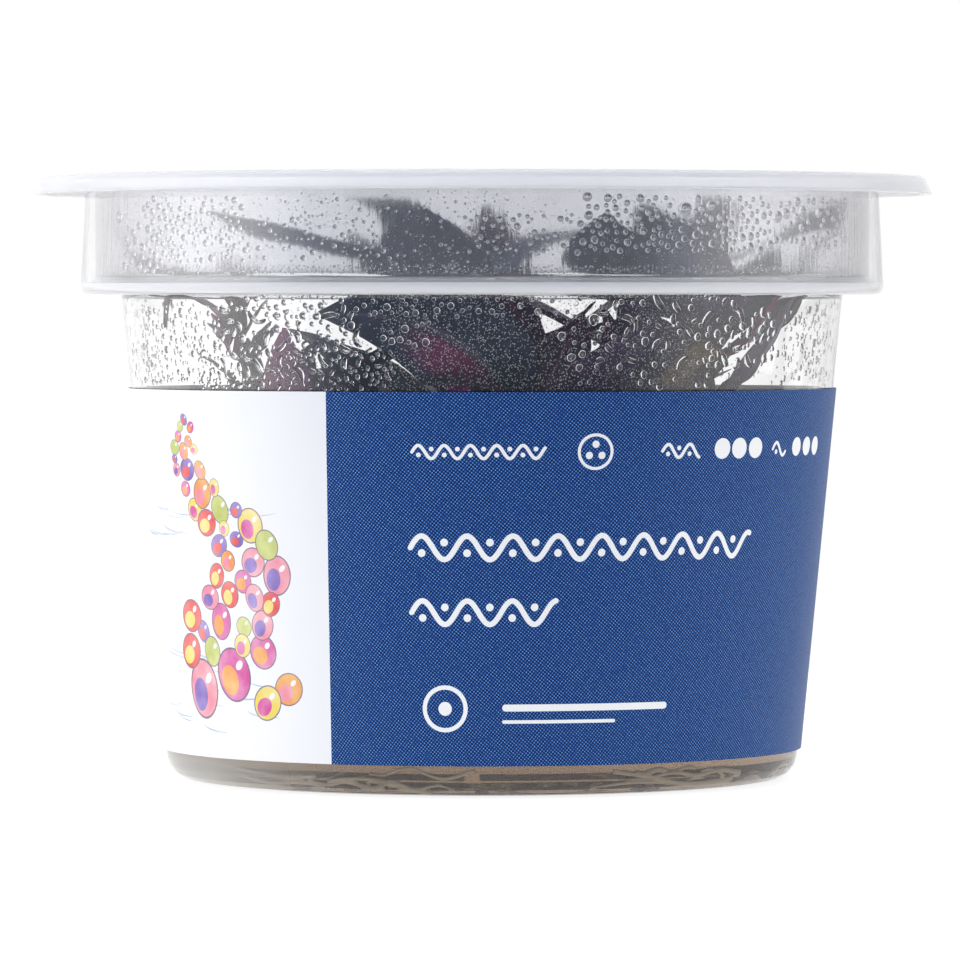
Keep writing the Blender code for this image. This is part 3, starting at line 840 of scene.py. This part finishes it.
def build_gel(inside):
    """Gel that fills the cup up to its solid's top and creeps up the wall a little."""
    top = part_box("nutrient_gel")[1][2]
    below = [point for point in inside if point[1] < top - 0.5 * MM]
    fill = [(max(radius + GEL_REACH, 0), height - GEL_REACH) for radius, height in reversed(below)]
    edge = radii_at(inside, top)[0] + GEL_REACH
    fill += [(edge, top), (edge + 0.02 * MM, top + 0.5 * MM), (edge - 0.15 * MM, top + 0.3 * MM)]
    fill += [(edge - 0.6 * MM, top + 0.08 * MM), (edge - 1.5 * MM, top), (0, top)]
    place(lathe("gel_body", fill, [gel_look()]), "gel", "nutrient_gel")
    return fill


def label_place():
    """The heights of the label's ends, its radius carried down to the table, and how it grows."""
    ends = [corner[2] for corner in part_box("label")]
    points, _ = corners("label")
    low = min(hypot(p.x, p.y) for p in points if p.z < ends[0] + 0.1 * MM)
    high = min(hypot(p.x, p.y) for p in points if p.z > ends[1] - 0.1 * MM)
    slope = (high - low) / (ends[1] - ends[0])
    return ends, (low - slope * ends[0], slope)


def bar(x0, y0, x1, y1, ease):
    """A bar with rounded corners."""
    points = []
    left, right, low, high = x0 + ease, x1 - ease, y0 + ease, y1 - ease
    for number, (x, y) in enumerate(((right, high), (left, high), (left, low), (right, low))):
        for step in range(4):
            angle = radians(90 * number + 30 * step)
            points.append((x + ease * cos(angle), y + ease * sin(angle)))
    return points


def stroke(points, width, thinned=True):
    """The outline of a line, which narrows to both ends if it is thinned."""
    left = []
    right = []
    last = len(points) - 1
    for number, (x, y) in enumerate(points):
        x0, y0 = points[max(number - 1, 0)]
        x1, y1 = points[min(number + 1, last)]
        length = hypot(x1 - x0, y1 - y0)
        half = width / 2 * (0.25 + 0.75 * sin(pi * number / last) if thinned else 1)
        nx, ny = -(y1 - y0) / length * half, (x1 - x0) / length * half
        left.append((x + nx, y + ny))
        right.append((x - nx, y - ny))
    return left + right[::-1]


class Print:
    """Outlines in millimetres and their inks, in the order in which they are laid on."""

    def __init__(self):
        self.shapes = []

    def lay(self, shape, ink="white"):
        self.shapes.append((shape, ink))

    def disc(self, x, y, across, ink="white", up=None, turn=0.0, steps=28):
        """A round shape, as wide and high as given."""
        points = []
        for step in range(steps):
            a = across * cos(tau * step / steps)
            b = (up or across) * sin(tau * step / steps)
            points.append((x + a * cos(turn) - b * sin(turn), y + a * sin(turn) + b * cos(turn)))
        self.lay(points, ink)

    def wave(self, x, end, middle, swing, period, width):
        """A wave with round ends and a bead in each bend."""
        points = []
        count = max(int((end - x) / period * WAVE_STEPS), 2)
        for step in range(count + 1):
            here = x + (end - x) * step / count
            points.append((here, middle + swing * sin(tau * (here - x) / period)))
        self.lay(stroke(points, width, thinned=False))
        for a, b in (points[0], points[-1]):
            self.disc(a, b, width / 2, steps=12)
        for bend in range(int((end - x) / (period / 2))):
            side = -1 if bend % 2 == 0 else 1
            self.disc(x + period * (bend + 0.5) / 2, middle + side * swing * 0.45, width * 0.72, steps=18)


def label_shapes():
    """Ornament on the blue, and bubbles over ripples on the white panel."""
    dice = random.Random(SEED + 2)
    label = Print()
    # Top row: small waves, a ring with beads, dots
    label.wave(-7.8, 7, *SMALL_WAVE)
    label.disc(12.8, 39.5, 2.1)
    label.disc(12.8, 39.5, 1.75, "blue")
    for turn in range(3):
        way = radians(90 + 120 * turn)
        label.disc(12.8 + 0.85 * cos(way), 39.5 + 0.85 * sin(way), 0.42, steps=16)
    label.wave(21, 26, *SMALL_WAVE)
    for x in (29.4, 32.1, 34.9):
        label.disc(x, 39.7, 1.2)
    label.wave(38.2, 40.9, *SMALL_WAVE)
    for x in (43.6, 46.4, 49.2):
        label.disc(x, 39.7, 1.1)
    # Two rows of plain ornament
    label.wave(-8.2, 35.0, 28.6, 1.35, 5.2, 0.62)
    label.wave(-8.2, 8.6, 21.2, 1.35, 5.2, 0.62)
    # A plain ring and two rules at the foot
    label.disc(-4.4, 10.2, 2.7, steps=40)
    label.disc(-4.4, 10.2, 2.2, "blue", steps=40)
    label.disc(-4.4, 10.2, 0.8)
    label.lay(bar(2.4, 9.9, 23.4, 10.7, ease=0.38))
    label.lay(bar(2.4, 8.5, 16.4, 8.9, ease=0.18))
    # The white panel
    label.lay([(PANEL_EDGE[1], 3), (PANEL_EDGE[0], 47), (-78, 47), (-78, 3)], "panel")
    for ring in range(RIPPLES):
        x = dice.uniform(-50, -23)
        y = dice.uniform(7.5, 17) if ring % 3 else dice.uniform(30, 36)
        wide = dice.uniform(2.5, 7.5)
        start = dice.uniform(180, 230)
        line = []
        for step in range(13):
            angle = radians(start + step * dice.uniform(6, 9))
            line.append((x + wide * cos(angle), y + wide * 0.22 * sin(angle)))
        label.lay(stroke(line, dice.uniform(0.12, 0.26)), "pencil")
    placed = []
    tries = 0
    while len(placed) < BUBBLES and tries < BUBBLE_TRIES:
        tries += 1
        share = dice.random()
        size = (3.5 - 2.4 * share) * dice.uniform(0.45, 1.1)
        x = -31 - 6 * share - 3.5 * sin(share * 9) + dice.uniform(-8.5, 8.5) * (1.15 - share)
        y = 10 + 33 * share
        if any(hypot(x - a, y - b) < 0.78 * (size + c) for a, b, c in placed) or x + size > PANEL_EDGE[1] - 1:
            continue
        placed.append((x, y, size))
        turn = dice.uniform(0, pi)
        tall = size * dice.uniform(0.8, 1.0)
        ink = BUBBLE_INKS[len(placed) % len(BUBBLE_INKS)]
        other = BUBBLE_INKS[(len(placed) * 3 + 2) % len(BUBBLE_INKS)]
        label.disc(x, y, size, "line", tall, turn)
        label.disc(x, y, size * 0.93, ink, tall * 0.92, turn)
        label.disc(x - size * 0.22, y - size * 0.2, size * 0.55, other, tall * 0.5, turn)
        label.disc(x + size * 0.35, y + size * 0.35, size * 0.22, "panel", tall * 0.16, 0.7, steps=14)
    return label.shapes


def ink_look(name, colour, other, grain):
    """A flat ink on film that varies like a wash."""
    look = Look(name, Roughness=0.45)
    wash = look.ramp(look.noise(260, 4), 0.35, 0.7)
    look.colour(look.mix(look.times(wash, grain), colour, other))
    return look.material


def blue_ink():
    """Blue printed as fine dots on crossed lines, with dark gaps between them."""
    look = Look("blue print", Roughness=0.45, Specular_IOR_Level=0.15)
    x, y, z = look.parts()
    round_to = look.times(look.maths("ARCTAN2", x, look.times(y, -1.0)), LABEL_RADIUS)
    waves = []
    for way in (SCREEN_TURN, SCREEN_TURN + pi / 2):
        first = look.times(round_to, cos(way) * tau / SCREEN_PERIOD)
        second = look.times(z, sin(way) * tau / SCREEN_PERIOD)
        waves.append(look.maths("SINE", look.maths("ADD", first, second)))
    screen = look.times(*waves)
    uneven = look.ramp(look.noise(2600), 0.35, 0.6, 0.3, 1.0)
    pale = look.times(look.ramp(screen, 0.2, 0.7), uneven)
    dark = look.times(look.ramp(screen, 0.1, -0.4), uneven)
    colour = look.mix(dark, (0.008, 0.044, 0.215), (0.0005, 0.001, 0.012))
    look.colour(look.mix(pale, colour, (0.14, 0.38, 0.84)))
    return look.material


def holds(polygon, point):
    """True where the polygon holds the point."""
    x, y = point
    inside = False
    for (x0, y0), (x1, y1) in zip(polygon, polygon[1:] + polygon[:1]):
        if (y0 > y) != (y1 > y) and x < x0 + (y - y0) * (x1 - x0) / (y1 - y0):
            inside = not inside
    return inside


def build_label():
    """The film round the wall, cut along its print, with faces of its own for each ink."""
    looks = {"blue": blue_ink()}
    looks.update({ink: ink_look(ink, *row) for ink, row in INKS.items()})
    names = list(looks)
    ends, (foot_radius, slope) = label_place()
    points = []
    edges = []

    def add_loop(polygon):
        first = len(points)
        points.extend(Vector(point) for point in polygon)
        edges.extend((first + i, first + (i + 1) % len(polygon)) for i in range(len(polygon)))

    def on_wall_at(x, y, out):
        return from_front(foot_radius + slope * y * MM + out, x * MM / LABEL_RADIUS, y * MM)

    half = pi * LABEL_RADIUS / MM
    start = half + LABEL_ENDS[1]
    stop = -half + LABEL_ENDS[0]
    low, high = (height / MM for height in ends)
    columns = [stop + (start - stop) * step / LABEL_COLUMNS for step in range(LABEL_COLUMNS + 1)]
    add_loop([(x, low) for x in columns] + [(x, high) for x in reversed(columns)])
    count = LABEL_COLUMNS + 1
    edges.extend((i, 2 * count - 1 - i) for i in range(1, count - 1))
    clipped = []
    for polygon, ink in label_shapes():
        polygon = [(min(max(x, stop), start), min(max(y, low), high)) for x, y in polygon]
        add_loop(polygon)
        xs, ys = zip(*polygon)
        clipped.append((polygon, ink, (min(xs), max(xs), min(ys), max(ys))))
    result = geometry.delaunay_2d_cdt(points, edges, [], 0, 1e-5)
    flat, faces = result[0], result[2]
    kept = []
    inks = []
    for face in faces:
        middle = sum((flat[i] for i in face), Vector((0, 0))) / len(face)
        if not (stop < middle.x < start and low < middle.y < high):
            continue
        ink = "blue"
        for polygon, candidate, (x0, x1, y0, y1) in clipped:
            if x0 <= middle.x <= x1 and y0 <= middle.y <= y1 and holds(polygon, middle):
                ink = candidate
        kept.append(tuple(face))
        inks.append(names.index(ink))
    count = len(flat)
    vertices = [on_wall_at(x, y, out) for out in (LABEL_THICK, 0) for x, y in flat]
    sides = [side for face in kept for side in zip(face, face[1:] + face[:1])]
    shared = set(sides)
    body = kept + [tuple(i + count for i in reversed(face)) for face in kept]
    body += [(b, a, a + count, b + count) for a, b in sides if (b, a) not in shared]
    inks += [names.index("panel")] * (len(body) - len(kept))
    made = new_object("label_film", vertices, body, list(looks.values()), inks, outward=False)
    normals = [Vector((v.x, v.y, 0)).normalized() * (1 if n < count else -1) for n, v in enumerate(vertices)]
    made.data.normals_split_custom_set_from_vertices(normals)
    place(made, "label_film", "label")


def drop(body, spot, size, dice, depth=0.6, stretch=1.0, turn=0.0, rough=0.03, bend=0.0):
    """Adds a domed drop, round or long and bent. Spot gives the point for a place and a lift."""
    fine = size > FINE_DROP
    levels = DOME if fine else DOME[::2]
    count = (DROP_SIDES if stretch < 1.5 else DROP_SIDES * 3 // 2) if fine else DROP_SIDES // 2 + 1
    half = size * (stretch - 1)
    first = len(body.vertices)
    phases = [dice.uniform(0, tau) for _ in range(3)]

    def at(along, across, share, lift):
        ahead = along[0] + along[1] * share
        aside = across * share + bend * ahead**2 / (size * stretch)
        a = aside * cos(turn) - ahead * sin(turn)
        b = aside * sin(turn) + ahead * cos(turn)
        return spot(a, b, DROP_GAP + lift * depth * size)

    edge = []
    for side in range(count):
        way = tau * side / count
        waves = [sin(number * way + phase) for number, phase in zip((2, 3, 5), phases)]
        reach = size * (1 + rough * (waves[0] + waves[1] + 0.6 * waves[2]))
        middle = half * max(-1, min(1, 2 * sin(way)))
        edge.append(((middle, reach * sin(way)), reach * cos(way)))
    for share, lift in levels:
        body.vertices += [at(along, across, share, lift) for along, across in edge]
    body.vertices += [at((0, 0), 0, 1, 1), at((0, 0), 0, 1, 0)]
    top = first + len(levels) * count
    for side in range(count):
        low = range(first + side, top, count)
        high = range(first + (side + 1) % count, top, count)
        body.faces.append((high[0], low[0], top + 1))
        body.faces += zip(low, high, high[1:], low[1:])
        body.faces.append((low[-1], high[-1], top))


def on_wall(wall, angle, height):
    """Points on the inside of a wall round a place, for drop."""
    def spot(a, b, lift):
        z = height + b
        radius = wall(z) - lift
        return from_front(radius, angle + a / radius, z)
    return spot


def on_ledge(radius, angle, height):
    """Points on a flat ledge round a place, for drop."""
    def spot(a, b, lift):
        return from_front(radius + b, angle + a / radius, height + lift)
    return spot


def spread_drops(name, wall, zones, big, limit, look, seed, cells):
    """Drops in their zones, none touching another or one that is already in the cells."""
    dice = random.Random(seed)
    body = Body()

    def free(x, z, size):
        column, row = int(x // (1 * MM)), int(z // (1 * MM))
        for cell in product(range(column - 2, column + 3), range(row - 2, row + 3)):
            if any(hypot(x - a, z - b) < (size + c) * 1.08 for a, b, c in cells.get(cell, ())):
                return False
        cells.setdefault((column, row), []).append((x, z, size))
        return True

    for degrees, height, size in big:
        angle = radians(degrees)
        free(angle * wall(height * MM), height * MM, size * MM)
        drop(body, on_wall(wall, angle, height * MM), size * MM, dice)
    for (start, end), (low, high), (least, most), count, (short, tall), lean, rough in zones:
        for _ in range(count):
            for _ in range(12):
                angle = radians(dice.uniform(start, end))
                size = (least + (most - least) * dice.random() ** 1.8) * MM
                stretch = dice.uniform(short, tall)
                z = dice.uniform(low, high) * MM
                reach = size * stretch
                inside = z - reach > limit[0] and z + reach < limit[1]
                if inside and free(angle * wall(z), z, (size + reach) / 2):
                    turn = dice.uniform(-lean, lean)
                    bend = dice.uniform(-MOST_BEND, MOST_BEND) if stretch > LONG_DROP else 0.0
                    drop(body, on_wall(wall, angle, z), size, dice, 0.66, stretch, turn, rough, bend)
                    break
    place(body.made(name, look), "clear_plastic")


def spread_ledge(ledge, inner, outer, look):
    """Flat pools of water that stand on the ledge inside the collar."""
    dice = random.Random(SEED + 6)
    body = Body()
    across = (outer - inner) / 2 - 0.12 * MM
    for number in range(LEDGE_DROPS):
        size = across * dice.uniform(0.55, 1.0)
        angle = tau * (number + dice.uniform(-0.2, 0.2)) / LEDGE_DROPS
        spot = on_ledge((inner + outer) / 2, angle, ledge)
        drop(body, spot, size, dice, dice.uniform(0.4, 0.9), rough=0.08)
    place(body.made("condensation_ledge", look), "clear_plastic")


def build_drops(inside):
    collar_radius = radii_at(inside, COLLAR_DROP_TOP)[0]
    ledge = min(height for radius, height in inside if radius > collar_radius - 0.2 * MM)

    def wall(z):
        return radii_at(inside, z)[0]

    look = water("drops", 1.0, 0.0)
    # The mist drops are half milky white: partly the real whitish scatter of fine mist, partly a painted
    # glint standing in for the sparkle of tiny clear drops
    mist_and_glint = water("mist_and_glint", 0.55, 0.3)
    cells = {}
    collar = (ledge + 0.5 * MM, COLLAR_DROP_TOP)
    spread_drops("condensation_collar", wall, COLLAR_DROPS, BIG_DROPS, collar, look, SEED + 3, cells)
    spread_drops("condensation_wall", wall, WALL_DROPS, (), WALL_DROP_ENDS, look, SEED + 4, cells)
    spread_drops("mist_collar", wall, COLLAR_MIST, (), collar, mist_and_glint, SEED + 7, cells)
    spread_drops("mist_wall", wall, WALL_MIST, (), WALL_DROP_ENDS, mist_and_glint, SEED + 8, cells)
    spread_ledge(ledge + 0.02 * MM, wall(ledge - 0.1 * MM) + 0.6 * MM, collar_radius - 0.5 * MM, look)


def build_camera():
    camera = bpy.data.objects.new("camera", bpy.data.cameras.new("camera"))
    bpy.context.scene.collection.objects.link(camera)
    camera.data.lens = LENS
    camera.data.clip_start = 0.05
    camera.data.clip_end = 20
    camera.location = (0, -EYE_DISTANCE, EYE_HEIGHT)
    camera.rotation_euler = (AIM - camera.location).to_track_quat("-Z", "Y").to_euler()
    bpy.context.scene.camera = camera


def soft_light(world):
    """Light that depends on the direction in the room that it comes from."""
    graph = Graph(world.node_tree, "Generated")
    x, y, _ = graph.parts()
    colour = graph.mix(graph.ramp(y, *FRONT_SPAN, smooth=True), FRONT_COLOUR, (1, 1, 1))
    front = graph.ramp(y, *FRONT_SPAN, FRONT_LIGHT, SIDE_LIGHT, smooth=True)
    back = graph.ramp(y, *BACK_SPAN, 0.0, BACK_LIGHT - SIDE_LIGHT, smooth=True)
    sideways = graph.maths("SUBTRACT", 1.0, graph.times(x, LEFT_SHARE))
    background = graph.nodes["Background"]
    graph.feed(background.inputs["Color"], colour)
    strength = graph.times(graph.maths("ADD", front, back), sideways)
    graph.feed(background.inputs["Strength"], strength)


def build_studio():
    scene = bpy.context.scene
    scene.view_settings.view_transform = "Standard"
    scene.cycles.max_bounces = BOUNCES
    scene.cycles.transmission_bounces = BOUNCES
    scene.world = bpy.data.worlds.new("studio")
    scene.world.use_nodes = True
    soft_light(scene.world)
    spot = (0, 0, -TABLE_DROP)
    bpy.ops.mesh.primitive_circle_add(vertices=96, radius=TABLE_RADIUS, fill_type="NGON", location=spot)
    floor = bpy.context.object
    floor.name = "floor"
    look = Look("floor", Base_Color=(0.25, 0.25, 0.25), Roughness=0.9, Specular_IOR_Level=0.0,
                Emission_Color=(1, 1, 1), Emission_Strength=0.88)
    floor.data.materials.append(look.material)


def build_clear_pieces(cup_outline, rim):
    """The cup, its collar fogged on the inside, and the lid."""
    plain = clear_plastic("clear plastic", 0.015, CLEAR_TINT)
    fogged = clear_plastic("fogged plastic", 0.12, FOG_TINT, clearness=0.88, streaks=0.12)
    milky = clear_plastic("milky plastic", 0.10, MILKY_TINT, clearness=0.5)
    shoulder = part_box("cup")[1][2] - COLLAR_FOG

    def cup_finish(number):
        height = (cup_outline[number][1] + cup_outline[number + 1][1]) / 2
        if SHOULDER[0] < height < SHOULDER[1]:
            return 2
        return 1 if number > rim and height > shoulder else 0

    place(lathe("cup_body", cup_outline, [plain, fogged, milky], cup_finish), "clear_plastic", "cup")
    veiled = clear_plastic("veiled plastic", 0.015, MILKY_TINT, clearness=0.965)
    lid_outline = held(rounded(outline("lid")))
    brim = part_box("lid")[1][2] - BRIM_DEPTH

    def lid_finish(number):
        low, high = sorted((lid_outline[number][1], lid_outline[number + 1][1]))
        return 1 if low > brim or high < SHOULDER[1] else 0

    place(lathe("lid_body", lid_outline, [veiled, milky], lid_finish), "clear_plastic", "lid")


build_camera()
build_studio()
cup_outline = held(rounded(outline("cup")))
rim = max(range(len(cup_outline)), key=lambda i: cup_outline[i][1])
cup_inside = cup_outline[rim:]
build_clear_pieces(cup_outline, rim)
build_roots(build_gel(cup_inside))
build_stems()
looks = {kind: leaf_look(f"leaf {kind}", *row[1:]) for kind, row in LEAF_KINDS.items()}
build_leaves(looks)
build_shoots(cup_inside, looks["plum"])
build_label()
build_drops(cup_inside)
